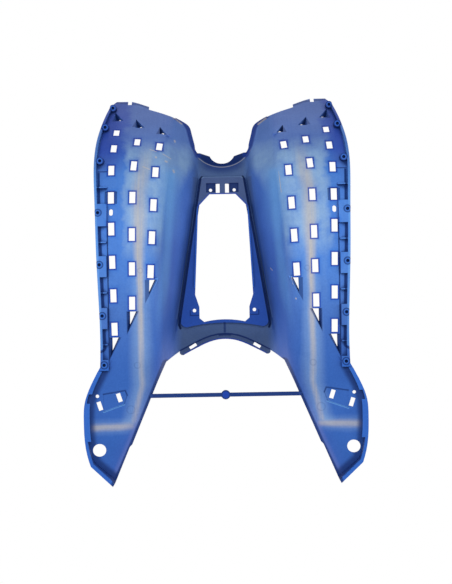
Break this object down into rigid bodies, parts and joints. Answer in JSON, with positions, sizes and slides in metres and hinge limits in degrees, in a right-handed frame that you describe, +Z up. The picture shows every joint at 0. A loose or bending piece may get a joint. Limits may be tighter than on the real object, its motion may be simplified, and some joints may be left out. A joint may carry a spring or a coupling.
{
  "type": "scooter floorboard",
  "caption": "Moulded blue floorboard of a motor scooter: two slotted footboards climbing into a leg shield, a central tunnel with a lid opening, and two tails.",
  "frame": {"origin": "middle of the footprint, on the plane that the rim's bosses and the tails' walls rest on", "axes": "as fitted on the scooter: +Z up, +Y forward to the leg shield, +X to the rider's right"},
  "size_m": [0.456, 0.65, 0.2506],
  "materials": {
    "painted_plastic": "blue paint over moulded plastic, worn and dusty on the underside"
  },
  "bodies": {
    "root": {"floorboard": "painted_plastic"}
  },
  "joints": []
}
